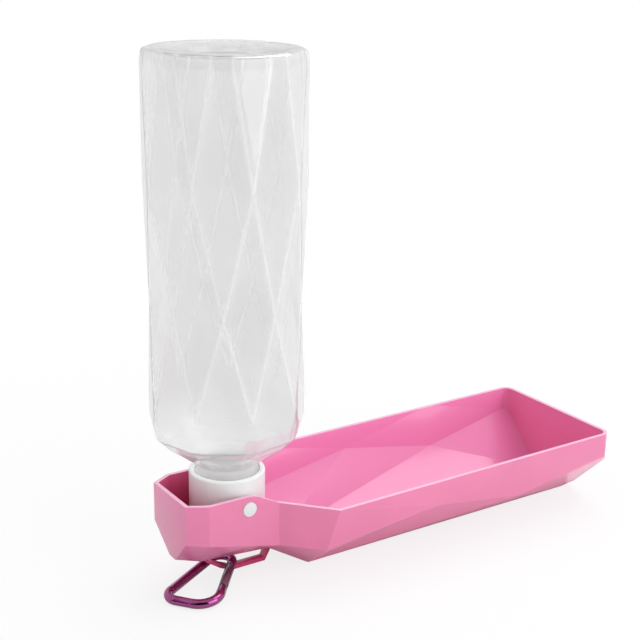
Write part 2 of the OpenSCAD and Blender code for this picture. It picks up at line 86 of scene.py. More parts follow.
# A node's output linked to a socket, or a colour or a number set on it
def feed(tree, source, socket):
    if isinstance(source, bpy.types.NodeSocket):
        tree.links.new(source, socket)
    elif isinstance(source, tuple):
        socket.default_value = (*source, 1)
    else:
        socket.default_value = source


def new_material(name):
    material = bpy.data.materials.new(name)
    material.use_nodes = True
    tree = material.node_tree
    tree.nodes.clear()
    out = tree.nodes.new("ShaderNodeOutputMaterial")
    out.name = "Material Output"
    shader = tree.nodes.new("ShaderNodeBsdfPrincipled")
    tree.links.new(shader.outputs["BSDF"], out.inputs["Surface"])
    return material, tree, shader


# One shader on the surface where the factor is 0, another where it is 1
def mix_surface(tree, factor, first, second):
    mix = tree.nodes.new("ShaderNodeMixShader")
    tree.links.new(factor, mix.inputs["Fac"])
    tree.links.new(first, mix.inputs[1])
    tree.links.new(second, mix.inputs[2])
    tree.links.new(mix.outputs["Shader"], tree.nodes["Material Output"].inputs["Surface"])


def noise(tree, scale, detail=3.0):
    coords = tree.nodes.new("ShaderNodeTexCoord")
    node = tree.nodes.new("ShaderNodeTexNoise")
    node.inputs["Scale"].default_value = scale
    node.inputs["Detail"].default_value = detail
    tree.links.new(coords.outputs["Object"], node.inputs["Vector"])
    return node.outputs["Fac"]


def ramp(tree, value, low, high):
    node = tree.nodes.new("ShaderNodeValToRGB")
    node.color_ramp.elements[0].position = RAMP_START
    node.color_ramp.elements[0].color = (*low, 1)
    node.color_ramp.elements[1].position = RAMP_END
    node.color_ramp.elements[1].color = (*high, 1)
    tree.links.new(value, node.inputs["Fac"])
    return node.outputs["Color"]


# Low where the value is at start or before it, high where it is at end or beyond
def remap(tree, value, low, high, start=0.0, end=1.0):
    node = tree.nodes.new("ShaderNodeMapRange")
    node.inputs["From Min"].default_value = start
    node.inputs["From Max"].default_value = end
    node.inputs["To Min"].default_value = low
    node.inputs["To Max"].default_value = high
    tree.links.new(value, node.inputs["Value"])
    return node.outputs["Result"]


def bump(tree, shader, value, strength, distance):
    node = tree.nodes.new("ShaderNodeBump")
    node.inputs["Strength"].default_value = strength
    node.inputs["Distance"].default_value = distance
    tree.links.new(value, node.inputs["Height"])
    tree.links.new(node.outputs["Normal"], shader.inputs["Normal"])


def blend(tree, factor, low, high):
    node = tree.nodes.new("ShaderNodeMix")
    tree.links.new(factor, node.inputs["Factor"])
    feed(tree, low, node.inputs["A"])
    feed(tree, high, node.inputs["B"])
    return node.outputs["Result"]


def blend_color(tree, factor, low, high):
    node = tree.nodes.new("ShaderNodeMix")
    node.data_type = "RGBA"
    tree.links.new(factor, node.inputs["Factor"])
    feed(tree, low, node.inputs[MIX_LOW])
    feed(tree, high, node.inputs[MIX_HIGH])
    return node.outputs[MIX_RESULT]


def combine(tree, operation, first, second, clamp=False):
    node = tree.nodes.new("ShaderNodeMath")
    node.operation = operation
    node.use_clamp = clamp
    tree.links.new(first, node.inputs[0])
    tree.links.new(second, node.inputs[1])
    return node.outputs[0]


# A step with vectors, the second of which is the same everywhere
def vector_step(tree, operation, vector, other=(0, 0, 0)):
    node = tree.nodes.new("ShaderNodeVectorMath")
    node.operation = operation
    tree.links.new(vector, node.inputs[0])
    node.inputs[1].default_value = other
    return node.outputs["Value" if operation in ("LENGTH", "DOT_PRODUCT") else "Vector"]


# A share from 0 to 1 that the mesh carries for each face or point
def mark(tree, name):
    node = tree.nodes.new("ShaderNodeAttribute")
    node.attribute_name = name
    return node.outputs["Fac"]


def shade(color, factor):
    return tuple(min(1.0, c * factor) for c in color)


# Materials. Noise scales are per metre, and a gloss is a roughness, lower where it shines more.

CLOUD_SCALE = 45.0
PLASTIC_GLOSS_SCALE = 160.0
PLASTIC_GLOSS_BELOW = 0.04
PLASTIC_GLOSS_ABOVE = 0.05
PLASTIC_GRAIN_SCALE = 900.0
PLASTIC_GRAIN_DEPTH = 0.2 * MM
PLASTIC_IOR = 1.49
PLASTIC_SKIN_GLOSS = 0.1
SCATTER_DEPTH = 3 * MM
SCATTER_SPREAD = (1.0, 0.9, 0.95)


# Moulded plastic: a little cloudiness in the colour, other colours where the mesh is marked for
# them (on the pink, painted light and shade), uneven gloss and a fine grain under a clear polished
# skin
def plastic(name, color, gloss, drift, grain=0.03, scatter=0.0, polish=0.0, marked=None):
    material, tree, shader = new_material(name)
    cloud = noise(tree, CLOUD_SCALE, detail=4.0)
    tint = ramp(tree, cloud, shade(color, 1 - drift), shade(color, 1 + drift))
    for mark_name, mark_color in (marked or {}).items():
        tint = blend_color(tree, mark(tree, mark_name), tint, mark_color)
    tree.links.new(tint, shader.inputs["Base Color"])
    rough = remap(tree, noise(tree, PLASTIC_GLOSS_SCALE), gloss - PLASTIC_GLOSS_BELOW,
                  gloss + PLASTIC_GLOSS_ABOVE)
    tree.links.new(rough, shader.inputs["Roughness"])
    shader.inputs["IOR"].default_value = PLASTIC_IOR
    shader.inputs["Coat Weight"].default_value = polish
    shader.inputs["Coat Roughness"].default_value = PLASTIC_SKIN_GLOSS
    if scatter:
        shader.inputs["Subsurface Weight"].default_value = scatter
        shader.inputs["Subsurface Radius"].default_value = SCATTER_SPREAD
        shader.inputs["Subsurface Scale"].default_value = SCATTER_DEPTH
    fine = noise(tree, PLASTIC_GRAIN_SCALE, detail=2.0)
    bump(tree, shader, fine, grain, PLASTIC_GRAIN_DEPTH)
    return material


METAL_TINT_SCALE = 220.0
METAL_GLOSS_SCALE = 500.0
METAL_GLOSS_BELOW = 0.05
METAL_GLOSS_ABOVE = 0.06
METAL_GRAIN_SCALE = 1500.0
METAL_GRAIN = 0.05
METAL_GRAIN_DEPTH = 0.1 * MM
METAL_SKIN_GLOSS = 0.05
METAL_DRIFT = 0.06


# Bare or anodised metal: a slight drift in colour and gloss, and a very fine grain
def metal(name, color, gloss, polish=0.0):
    material, tree, shader = new_material(name)
    tint = ramp(tree, noise(tree, METAL_TINT_SCALE), shade(color, 1 - METAL_DRIFT),
                shade(color, 1 + METAL_DRIFT))
    tree.links.new(tint, shader.inputs["Base Color"])
    shader.inputs["Metallic"].default_value = 1.0
    shader.inputs["Coat Weight"].default_value = polish
    shader.inputs["Coat Roughness"].default_value = METAL_SKIN_GLOSS
    rough = remap(tree, noise(tree, METAL_GLOSS_SCALE), gloss - METAL_GLOSS_BELOW,
                  gloss + METAL_GLOSS_ABOVE)
    tree.links.new(rough, shader.inputs["Roughness"])
    fine = noise(tree, METAL_GRAIN_SCALE, detail=2.0)
    bump(tree, shader, fine, METAL_GRAIN, METAL_GRAIN_DEPTH)
    return material


# Where the clear wall changes as it turns edge on, on a scale of 1 minus the angle's cosine
SIDE_TURN = (0.1, 0.6)
EDGE_TURN = (0.8, 1.0)
EDGE_CLEAR_TURN = (0.72, 0.97)

HAZE_SCALE = 30.0
HAZE_LOW = (0.83, 0.83, 0.835)
HAZE_HIGH = (0.87, 0.87, 0.875)
SIDE_PAINTED_REFLECTION = (0.91, 0.91, 0.91)
RIDGE_PAINTED_HIGHLIGHT = (0.95, 0.95, 0.95)
BASE_SHADE_SCALE = 150.0
BASE_SHADE_LOW = (0.7, 0.7, 0.71)
BASE_SHADE_HIGH = (0.88, 0.88, 0.88)
EDGE_PAINTED_SHADE = (0.5, 0.5, 0.51)
CLEAR_GLOSS_SCALE = 120.0
CLEAR_GLOSS_LOW = 0.03
CLEAR_GLOSS_HIGH = 0.09
CLEAR_SHARE = 0.84
RIDGE_CLEAR_SHARE = 0.64
EDGE_CLEAR_SHARE = 0.3
CLEAR_IOR = 1.42
RIPPLE_SCALE = 60.0
RIPPLE = 0.05
RIPPLE_DEPTH = 2 * MM
LAMP_THROUGH = (0.96, 0.96, 0.96)


# Clear blown plastic: a faint haze, with a painted reflection that whitens its sides and a painted
# highlight on its ridges, painted shade streaked where the mesh is marked as its base, and painted
# grey shade, less clear, where the wall is seen edge on. Lamps shine through it.
def clear_plastic(name):
    material, tree, shader = new_material(name)
    weight = tree.nodes.new("ShaderNodeLayerWeight")
    weight.inputs["Blend"].default_value = 0.5
    facing = weight.outputs["Facing"]
    painted_highlight = mark(tree, "painted_highlight")
    tint = ramp(tree, noise(tree, HAZE_SCALE), HAZE_LOW, HAZE_HIGH)
    tint = blend_color(tree, remap(tree, facing, 0.0, 1.0, *SIDE_TURN), tint, SIDE_PAINTED_REFLECTION)
    tint = blend_color(tree, painted_highlight, tint, RIDGE_PAINTED_HIGHLIGHT)
    # Painted shade: darker streaks over the base, standing in for the shading that its thick clear
    # plastic shows
    base_shade = ramp(tree, noise(tree, BASE_SHADE_SCALE, detail=4.0), BASE_SHADE_LOW, BASE_SHADE_HIGH)
    tint = blend_color(tree, mark(tree, "base"), tint, base_shade)
    tint = blend_color(tree, remap(tree, facing, 0.0, 1.0, *EDGE_TURN), tint, EDGE_PAINTED_SHADE)
    tree.links.new(tint, shader.inputs["Base Color"])
    rough = remap(tree, noise(tree, CLEAR_GLOSS_SCALE), CLEAR_GLOSS_LOW, CLEAR_GLOSS_HIGH)
    tree.links.new(rough, shader.inputs["Roughness"])
    clear = remap(tree, painted_highlight, CLEAR_SHARE, RIDGE_CLEAR_SHARE)
    clear = blend(tree, remap(tree, facing, 0.0, 1.0, *EDGE_CLEAR_TURN), clear, EDGE_CLEAR_SHARE)
    tree.links.new(clear, shader.inputs["Transmission Weight"])
    shader.inputs["IOR"].default_value = CLEAR_IOR
    bump(tree, shader, noise(tree, RIPPLE_SCALE), RIPPLE, RIPPLE_DEPTH)
    path = tree.nodes.new("ShaderNodeLightPath")
    through = tree.nodes.new("ShaderNodeBsdfTransparent")
    feed(tree, LAMP_THROUGH, through.inputs["Color"])
    mix_surface(tree, path.outputs["Is Shadow Ray"], shader.outputs["BSDF"],
                through.outputs["BSDF"])
    return material


# Painted light and shade on the pink, by mark: a lighter colour for the bounce light inside the
# trough, a paler colour for the highlights on edges and rims, and a deeper colour for the shade on
# the strap and inside the collar
PINK_PAINTED_LIGHT = {
    "trough": (0.90, 0.265, 0.525),
    "edge": (0.96, 0.55, 0.74),
    "painted_shade": (0.72, 0.07, 0.22),
}
PINK = plastic("pink_plastic", (0.87, 0.235, 0.44), gloss=0.30, drift=0.03, scatter=0.2,
               polish=0.5, marked=PINK_PAINTED_LIGHT)
WHITE = plastic("white_plastic", (0.86, 0.88, 0.88), gloss=0.36, drift=0.015, scatter=0.15)
SILICONE = plastic("silicone", (0.78, 0.78, 0.75), gloss=0.55, drift=0.03, grain=0.08,
                   scatter=0.3)
PINK_SILICONE = plastic("pink_silicone", (0.74, 0.12, 0.28), gloss=0.5, drift=0.03, grain=0.08)
CLEAR = clear_plastic("clear_plastic")
MAGENTA = metal("magenta_metal", (0.36, 0.06, 0.24), gloss=0.09, polish=0.8)
GREY = metal("gate_metal", (0.36, 0.44, 0.43), gloss=0.12)
STEEL = metal("pin_metal", (0.60, 0.60, 0.61), gloss=0.24)


# Mesh helpers

# Points nearer than this are one point, and facets that turn less than this are one facet
SAME_POINT = 2e-6
FLAT_TURN = math.radians(0.6)
BODY_FLAT_TURN = math.radians(1.0)
SHARP_TURN = math.radians(32.0)


def add_piece(name, mesh, body, material, node):
    piece = bpy.data.objects.new(name, mesh)
    bpy.context.scene.collection.objects.link(piece)
    mesh.materials.clear()
    mesh.materials.append(material)
    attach(piece, body)
    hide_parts(node)
    return piece


FULL_TURN = math.radians(28.0)
RIM_WIDTH = 2.3 * MM
RIM_SHARE = 0.8
RIM_FACES_UP = 0.7


# How much painted highlight a face gets, as a paler colour: 1 on a sharp rounded edge, less on a
# narrow rim, 0 on a wall
def painted_highlight_share(face, is_rounded):
    if is_rounded:
        turn = max(edge.calc_face_angle_signed(0.0) for edge in face.edges)
        return min(1.0, max(0.0, turn / FULL_TURN))
    width = 2 * face.calc_area() / face.calc_perimeter()
    on_rim = face.normal.z > RIM_FACES_UP and face.calc_center_median().z > RIM_Z / 2
    return RIM_SHARE if width < RIM_WIDTH and on_rim else 0.0


TROUGH_START = AXIS_X + 16 * MM
TROUGH_HALF = TRAY_HIGH[1] - 1 * MM
TROUGH_FOCUS = 60 * MM
TROUGH_FACES_IN = 0.1
END_WALL_FACES_BACK = -0.5


# How much painted bounce light a face gets, as a lighter colour standing in for the light the walls
# round it throw: 1 inside the trough, except on its end wall
def painted_bounce_share(face):
    middle = face.calc_center_median()
    toward = Vector((0, -middle.y, TROUGH_FOCUS - middle.z)).normalized()
    in_trough = middle.x > TROUGH_START and abs(middle.y) < TROUGH_HALF
    faces_in = face.normal.dot(toward) > TROUGH_FACES_IN
    return 1.0 if in_trough and faces_in and face.normal.x > END_WALL_FACES_BACK else 0.0


STRAP_HALF = 1.9 * MM
COLLAR_END = AXIS_X + 8 * MM
COLLAR_HALF = 18.2 * MM
COLLAR_TOP = RIM_Z - 1 * MM
COLLAR_FACES_IN = 0.2
COLLAR_SHARE = 0.8


# How much painted shade a face gets, as a deeper colour: 1 on the thin strap, less inside the
# collar, 0 elsewhere
def painted_shade_share(face):
    if all(abs(vert.co.y) < STRAP_HALF for vert in face.verts):
        return 1.0
    middle = face.calc_center_median()
    toward = Vector((AXIS_X - middle.x, -middle.y, 0)).normalized()
    in_collar = middle.x < COLLAR_END and abs(middle.y) < COLLAR_HALF and middle.z < COLLAR_TOP
    return COLLAR_SHARE if in_collar and face.normal.dot(toward) > COLLAR_FACES_IN else 0.0


# The marks of painted light and shade that each face carries
PAINTED_LIGHT_MARKS = ("trough", "edge", "painted_shade")


def painted_light_shares(face, is_rounded):
    return painted_bounce_share(face), painted_highlight_share(face, is_rounded), painted_shade_share(face)


# A copy of a CAD node with its flat facets joined up and its edges rounded, each face carrying its
# shares of painted light and shade
def softened(node, name, width, angle, segments):
    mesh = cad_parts[node].data.copy()
    mesh.name = name
    work = bmesh.new()
    work.from_mesh(mesh)
    for mark_name in PAINTED_LIGHT_MARKS:
        work.faces.layers.float.new(mark_name)
    bmesh.ops.remove_doubles(work, verts=work.verts, dist=SAME_POINT)
    bmesh.ops.dissolve_limit(work, angle_limit=FLAT_TURN, verts=work.verts, edges=work.edges)
    sharp = [edge for edge in work.edges
             if len(edge.link_faces) == 2 and edge.calc_face_angle(0.0) > math.radians(angle)]
    made = bmesh.ops.bevel(work, geom=sharp, offset=width, offset_type="OFFSET",
                           segments=segments, profile=0.5, affect="EDGES", clamp_overlap=True)
    rounded = set(made["faces"])
    layers = [work.faces.layers.float[mark_name] for mark_name in PAINTED_LIGHT_MARKS]
    for face in work.faces:
        face.smooth = True
        for layer, share in zip(layers, painted_light_shares(face, face in rounded)):
            face[layer] = share
    bmesh.ops.triangulate(work, faces=[face for face in work.faces if len(face.verts) > 4])
    work.to_mesh(mesh)
    work.free()
    mesh.set_sharp_from_angle(angle=SHARP_TURN)
    return mesh


def add_softened(node, name, body, material, width, angle, segments=2):
    mesh = softened(node, name, width, angle, segments)
    return add_piece(name, mesh, body, material, node)


def smooth_mesh(name, points, faces):
    mesh = bpy.data.meshes.new(name)
    mesh.from_pydata(points, [], faces)
    mesh.update()
    mesh.polygons.foreach_set("use_smooth", [True] * len(mesh.polygons))
    return mesh


# A closed skin from rows of points that run round the bottle's axis, with a point that closes
# the first row and one that closes the last
def skin_mesh(name, rows, first_pole, last_pole):
    count = len(rows[0])
    points = [tuple(point) for row in rows for point in row]
    points += [first_pole, last_pole]
    last_tip = len(points) - 1
    first_tip = last_tip - 1
    last_row = (len(rows) - 1) * count
    following = [(k + 1) % count for k in range(count)]
    faces = []
    for row in range(len(rows) - 1):
        a = row * count
        b = a + count
        faces += [(a + k, a + n, b + n, b + k) for k, n in enumerate(following)]
    faces += [(first_tip, n, k) for k, n in enumerate(following)]
    faces += [(last_tip, last_row + k, last_row + n) for k, n in enumerate(following)]
    return smooth_mesh(name, points, faces)


def blur_weights(sigma):
    reach = max(1, int(3 * sigma))
    weights = np.exp(-0.5 * (np.arange(-reach, reach + 1) / sigma) ** 2)
    return reach, weights / weights.sum()


# A field over the bottle's skin, blurred round the bottle
def blur_round(field, sigma):
    reach, weights = blur_weights(sigma)
    padded = np.concatenate([field[:, -reach:], field, field[:, :reach]], axis=1)
    return sum(w * padded[:, k:k + field.shape[1]] for k, w in enumerate(weights))


# The same field blurred from row to row
def blur_rows(field, sigma):
    reach, weights = blur_weights(sigma)
    first = np.repeat(field[:1], reach, 0)
    last = np.repeat(field[-1:], reach, 0)
    padded = np.concatenate([first, field, last])
    return sum(w * padded[k:k + field.shape[0]] for k, w in enumerate(weights))


# The bottle: rays find the CAD body's facets, whose ridges are then rounded as blown plastic
# rounds them. The neck below carries a real thread.
COLUMNS = 288
TURNS = TAU * np.arange(COLUMNS) / COLUMNS
WALL = 0.8 * MM
WALL_DRIFT = 0.14
NECK_R = 13.3 * MM
BORE_R = 10.9 * MM
MOUTH_Z = PIVOT_Z - 7.6 * MM
SKIN_START = PIVOT_Z + 16.2 * MM
SHOULDER_END = PIVOT_Z + 38 * MM
FINE_END = PIVOT_Z + 50 * MM
WALL_END = PIVOT_Z + 168 * MM
FOOT_Z = PIVOT_Z + 170 * MM

# Rays go in level up to the wall's end, then tilt up more and more over the base
FINE_STEP = 0.6 * MM
PLAIN_STEP = 1.0 * MM
TILTED_ROWS = 65
LAST_TILT = math.radians(88.5)
TILT_POWER = 1.25
RAY_START = 90 * MM


def bottle_rays():
    rays = []
    z = SKIN_START
    while z < WALL_END:
        rays.append((z, 0.0))
        z += FINE_STEP if z < FINE_END else PLAIN_STEP
    for k in range(1, TILTED_ROWS + 1):
        rays.append((WALL_END, LAST_TILT * (k / TILTED_ROWS) ** TILT_POWER))
    return rays


def cast_bottle():
    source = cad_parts["bottle"].data
    verts = [vert.co.copy() for vert in source.vertices]
    polys = [tuple(polygon.vertices) for polygon in source.polygons]
    tree = BVHTree.FromPolygons(verts, polys)
    rays = bottle_rays()
    reach = np.zeros((len(rays), COLUMNS))
    for i, (focus_z, tilt) in enumerate(rays):
        focus = Vector((AXIS_X, 0, focus_z))
        flat = math.cos(tilt)
        for k in range(COLUMNS):
            turn = TAU * k / COLUMNS
            way = Vector((math.cos(turn) * flat, math.sin(turn) * flat, math.sin(tilt)))
            hit = tree.ray_cast(focus + way * RAY_START, -way)[0]
            reach[i, k] = (hit - focus).length
    return rays, reach


# One row round the axis, at one height or at a height for each point
def ring(radius, z):
    heights = np.full(COLUMNS, z)
    return np.stack([AXIS_X + radius * np.cos(TURNS), radius * np.sin(TURNS), heights], axis=1)


def skin_points(rays, reach):
    rows = []
    for (focus_z, tilt), distance in zip(rays, reach):
        rows.append(ring(distance * math.cos(tilt), focus_z + distance * math.sin(tilt)))
    return np.array(rows)


def skin_normals(points):
    along = np.gradient(points, axis=0)
    around = np.roll(points, -1, axis=1) - np.roll(points, 1, axis=1)
    normal = np.cross(around, along)
    return normal / np.linalg.norm(normal, axis=2, keepdims=True)


THREAD_PITCH = 3.18 * MM
THREAD_OUT = 0.32 * MM
THREAD_START = MOUTH_Z + 2.2 * MM
THREAD_END = PIVOT_Z + 6.4 * MM
THREAD_FADE = 0.8 * MM
THREAD_CREST = 1.25
THREAD_FLANK = 5.0


# How far the thread stands out at one height, round the neck: a flat crest between sloping flanks
def thread_wave(z):
    turn = np.arange(COLUMNS) / COLUMNS
    phase = ((z - THREAD_START) / THREAD_PITCH - turn) % 1.0
    shape = np.clip(THREAD_CREST - np.abs(phase - 0.5) * THREAD_FLANK, 0.0, 1.0)
    fade_in = np.clip((z - THREAD_START) / THREAD_FADE, 0, 1)
    fade_out = np.clip((THREAD_END - z) / THREAD_FADE, 0, 1)
    return THREAD_OUT * shape * (fade_in * fade_out)


# The neck's rows. Outside come its lip, the thread's length, and the bead with the run into the
# shoulder. Inside comes the bore, up to the bottle's inner wall. A row in a table is its height in
# mm, above the mouth for the lip and above the pivot for the rest, and how far it stands out from
# the neck or the bore.
LIP = 0.3 * MM
LIP_ROWS = ((0.0, -0.9), (0.3, -0.55))
CORE_IN = 0.35 * MM
CORE_STEP = 0.25 * MM
CORE_START = MOUTH_Z + 0.8 * MM
CORE_END = PIVOT_Z + 7.6 * MM
BEAD_ROWS = ((8.6, 0.0), (9.4, 0.0), (9.7, 0.15), (9.95, 0.33), (10.5, 0.35), (10.9, 0.33),
             (11.2, 0.15), (11.5, 0.0), (12.4, -0.3), (13.6, -0.35), (14.6, -0.15), (15.4, 0.15))
BORE_ROWS = ((-6.0, 0.0), (0.0, 0.0), (6.0, 0.0), (11.0, 0.0), (13.0, 0.0), (14.6, 0.0),
             (15.8, 0.35), (16.7, 1.1))


def table_rings(radius, z, table):
    return [ring(radius + out * MM, z + level * MM) for level, out in table]


def neck_outside():
    rows = [ring(BORE_R + LIP, MOUTH_Z)] + table_rings(NECK_R, MOUTH_Z, LIP_ROWS)
    z = CORE_START
    while z < CORE_END:
        rows.append(ring(NECK_R - CORE_IN + thread_wave(z), z))
        z += CORE_STEP
    return rows + table_rings(NECK_R, PIVOT_Z, BEAD_ROWS)


def neck_inside():
    return [ring(BORE_R, MOUTH_Z + LIP)] + table_rings(BORE_R, PIVOT_Z, BORE_ROWS)


# A crease gets a painted highlight, a whiter ridge on the skin. The one that light catches along
# its length gets the plainest, and is known by the angles round the axis at its two ends.
CREASE_ANGLE = math.radians(5.0)
CREASE_HEIGHT = 12 * MM
CREASE_LEAN = 0.5
CREASE_FACES_OUT = 0.02
RIDGE_HALF = 1.2 * MM
RIDGE_SOFT = 0.75
BRIGHT_TOP = math.radians(-90.0)
BRIGHT_LOW = math.radians(-101.25)
BRIGHT_NEAR = 0.1
BRIGHT_START = FOOT_Z - 20 * MM


def near_angle(point, angle):
    return abs(math.atan2(point.y, point.x - AXIS_X) - angle) < BRIGHT_NEAR


# Both ends of each standing crease between the flat facets of the bottle's outer skin, and how
# plain its painted highlight shows
def outer_creases():
    work = bmesh.new()
    work.from_mesh(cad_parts["bottle"].data)
    bmesh.ops.remove_doubles(work, verts=work.verts, dist=SAME_POINT)
    bmesh.ops.dissolve_limit(work, angle_limit=BODY_FLAT_TURN, verts=work.verts, edges=work.edges)
    creases = []
    for edge in work.edges:
        if len(edge.link_faces) != 2 or edge.calc_face_angle(0.0) < CREASE_ANGLE:
            continue
        low, high = sorted((vert.co for vert in edge.verts), key=lambda point: point.z)
        out = Vector(((low.x + high.x) / 2 - AXIS_X, (low.y + high.y) / 2, 0)).normalized()
        way = high - low
        standing = abs(way.dot(Vector((-out.y, out.x, 0)))) < CREASE_LEAN * way.length
        tall = way.z > CREASE_HEIGHT or low.z > FOOT_Z
        outside = all(face.normal.dot(out) > CREASE_FACES_OUT for face in edge.link_faces)
        if standing and tall and outside:
            caught = (near_angle(high, BRIGHT_TOP) and near_angle(low, BRIGHT_LOW)
                      and high.z > BRIGHT_START)
            creases.append((np.array(low), np.array(high), 1.0 if caught else RIDGE_SOFT))
    work.free()
    return creases


# How plain the nearest crease's painted highlight shows at each point of the skin, falling to 0
# beside it
def ridge_highlight_field(points):
    field = np.zeros(points.shape[:2])
    for low, high, plain in outer_creases():
        way = high - low
        share = np.clip(((points - low) @ way) / (way @ way), 0, 1)
        gap = np.linalg.norm(points - (low + share[..., None] * way), axis=2)
        field = np.maximum(field, plain * np.exp(-(gap / RIDGE_HALF) ** 2))
    return field


CORNER_TILT = math.radians(33.5)
CORNER_SHARE = 0.45
CORNER_LIMIT = 2.4 * MM
FOOT_HEIGHT = BASE_Z - WALL_END


# The foot's corner drawn out part of the way to a square one, and no further than the limit
def squarer_corner(rays, reach):
    level_rows = sum(tilt == 0.0 for _, tilt in rays)
    side = reach[level_rows - 1]
    for i, (_, tilt) in enumerate(rays):
        if 0 < tilt < CORNER_TILT:
            square = np.minimum(side / math.cos(tilt), FOOT_HEIGHT / math.sin(tilt))
            reach[i] += CORNER_SHARE * np.clip(square - reach[i], 0, CORNER_LIMIT)


# Blurs are in points round the bottle, or in rows
ROUND_BLUR = 0.9
ROW_BLUR = 0.7
CRISP = 0.75
CRISP_BLUR = 4.0


# The skin with its ridges rounded: least on the shoulder and the base, most on the wall
def rounded_ridges(rays, reach):
    soft = reach
    for _ in range(2):
        soft = blur_round(soft, ROUND_BLUR)
        soft = blur_rows(soft, ROW_BLUR)
    crisp = [CRISP if tilt > 0 or z < SHOULDER_END else 0.0 for z, tilt in rays]
    crisp = blur_rows(np.array(crisp)[:, None], CRISP_BLUR)
    return soft + (reach - soft) * crisp


DRIFT_SEED = 7
DRIFT_BLUR = 7.0


# A smooth random field between -1 and 1: how the wall's thickness drifts
def uneven_field(shape):
    field = np.random.default_rng(DRIFT_SEED).normal(size=shape)
    for _ in range(3):
        field = blur_round(field, DRIFT_BLUR)
        field = blur_rows(field, DRIFT_BLUR)
    return field / np.abs(field).max()


# The bore's last rows stand in for the first ones of the inner wall
REPLACED_ROWS = 2
# The neck is painted whiter, standing in for the light that the cap keeps off it, and the shoulder
# is painted whiter and less clear, fading out towards the wall
NECK_PAINTED_LIGHT = 0.9
SHOULDER_PAINTED_WHITE = 0.75
BASE_FADE = math.radians(4.0)


# The whole skin, outside and in. It carries two marks: how much painted highlight whitens its
# ridges, neck and shoulder, and where it is the base, which takes painted streaks of shade.
def make_bottle():
    rays, reach = cast_bottle()
    squarer_corner(rays, reach)
    depth = [(SHOULDER_END - z) / (SHOULDER_END - SKIN_START) for z, _ in rays]
    shoulder = SHOULDER_PAINTED_WHITE * np.clip(depth, 0, 1)
    painted_highlights = np.maximum(ridge_highlight_field(skin_points(rays, reach)), shoulder[:, None])
    base = np.array([np.clip((tilt - CORNER_TILT) / BASE_FADE, 0, 1) for _, tilt in rays])
    base = base[:, None].repeat(COLUMNS, axis=1)
    outer = skin_points(rays, rounded_ridges(rays, reach))
    thickness = WALL * (1 + WALL_DRIFT * uneven_field(reach.shape))
    inner = outer - skin_normals(outer) * thickness[:, :, None]
    inner = inner[REPLACED_ROWS:][::-1]
    neck = neck_inside()[::-1] + neck_outside()
    pole_in = (AXIS_X, 0, float(inner[0][:, 2].mean()))
    pole_out = (AXIS_X, 0, float(outer[-1][:, 2].mean()))
    mesh = skin_mesh("bottle_body", [*inner, *neck, *outer], pole_in, pole_out)
    for name, field, neck_value, pole in (("painted_highlight", painted_highlights, NECK_PAINTED_LIGHT, 0), ("base", base, 0, 1)):
        on_neck = np.full((len(neck), COLUMNS), neck_value)
        values = np.concatenate([field[REPLACED_ROWS:][::-1], on_neck, field]).ravel()
        values = np.array([*values, pole, pole], np.float32)
        mesh.attributes.new(name, "FLOAT", "POINT").data.foreach_set("value", values)
    work = bmesh.new()
    work.from_mesh(mesh)
    bmesh.ops.recalc_face_normals(work, faces=work.faces)
    work.to_mesh(mesh)
    work.free()
    return mesh


COIL_TURNS = 9
COIL_STEPS = 16
COIL_R = 0.9 * MM
WIRE_R = 0.18 * MM
WIRE_SIDES = 8


# The gate's coil spring, wound along the CAD tube's own axis
def spring_mesh():
    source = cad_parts["gate_spring"].data
    tube = np.array([vert.co[:] for vert in source.vertices])
    centre = tube.mean(axis=0)
    along = np.linalg.svd(tube - centre)[2][0]
    reach = (tube - centre) @ along
    side = np.cross(along, (0, 0, 1))
    side /= np.linalg.norm(side)
    up = np.cross(side, along)
    start = reach.min() + WIRE_R
    end = reach.max() - WIRE_R
    total = COIL_TURNS * COIL_STEPS
    points = []
    for i in range(total + 1):
        turn = TAU * i / COIL_STEPS
        out = side * math.cos(turn) + up * math.sin(turn)
        middle = centre + along * (start + (end - start) * i / total) + out * COIL_R
        for k in range(WIRE_SIDES):
            a = TAU * k / WIRE_SIDES
            point = middle + out * WIRE_R * math.cos(a) + along * WIRE_R * math.sin(a)
            points.append(tuple(point))
    faces = []
    for i in range(total):
        a = i * WIRE_SIDES
        b = a + WIRE_SIDES
        for k in range(WIRE_SIDES):
            n = (k + 1) % WIRE_SIDES
            faces.append((a + k, a + n, b + n, b + k))
    faces.append(tuple(range(WIRE_SIDES)))
    faces.append(tuple(total * WIRE_SIDES + k for k in range(WIRE_SIDES))[::-1])
    return smooth_mesh("gate_coil", points, faces)


add_piece("bottle_body", make_bottle(), "bottle", CLEAR, "bottle")

# Tray, cap and small parts: the CAD shapes with rounded edges. The pad ends a little below the rim.
PAD_TOP = RIM_Z - 4 * MM
add_softened("tray", "tray_shell", "tray", PINK, 0.45 * MM, 5.0, 3)
add_softened("screw_cap", "cap_shell", "cap", WHITE, 0.3 * MM, 25.0)
pad = add_softened("stopper_pad", "pad", "tray", PINK_SILICONE, 0.35 * MM, 25.0)
for vert in pad.data.vertices:
    vert.co.z = min(vert.co.z, PAD_TOP)
add_softened("cap_gasket", "seal_ring", "seal", SILICONE, 0.3 * MM, 30.0)
add_softened("carabiner_frame", "clip_frame", "carabiner", MAGENTA, 0.12 * MM,
             30.0)
add_softened("carabiner_gate", "clip_gate", "gate", GREY, 0.12 * MM, 30.0)
add_softened("gate_hinge_pin", "hinge_pin", "carabiner", STEEL, 0.12 * MM, 30.0)
add_softened("gate_latch_pin", "latch_pin", "gate", STEEL, 0.12 * MM, 30.0)
add_piece("gate_coil", spring_mesh(), "gate", STEEL, "gate_spring")


# Stage: a pale floor, soft light and the camera

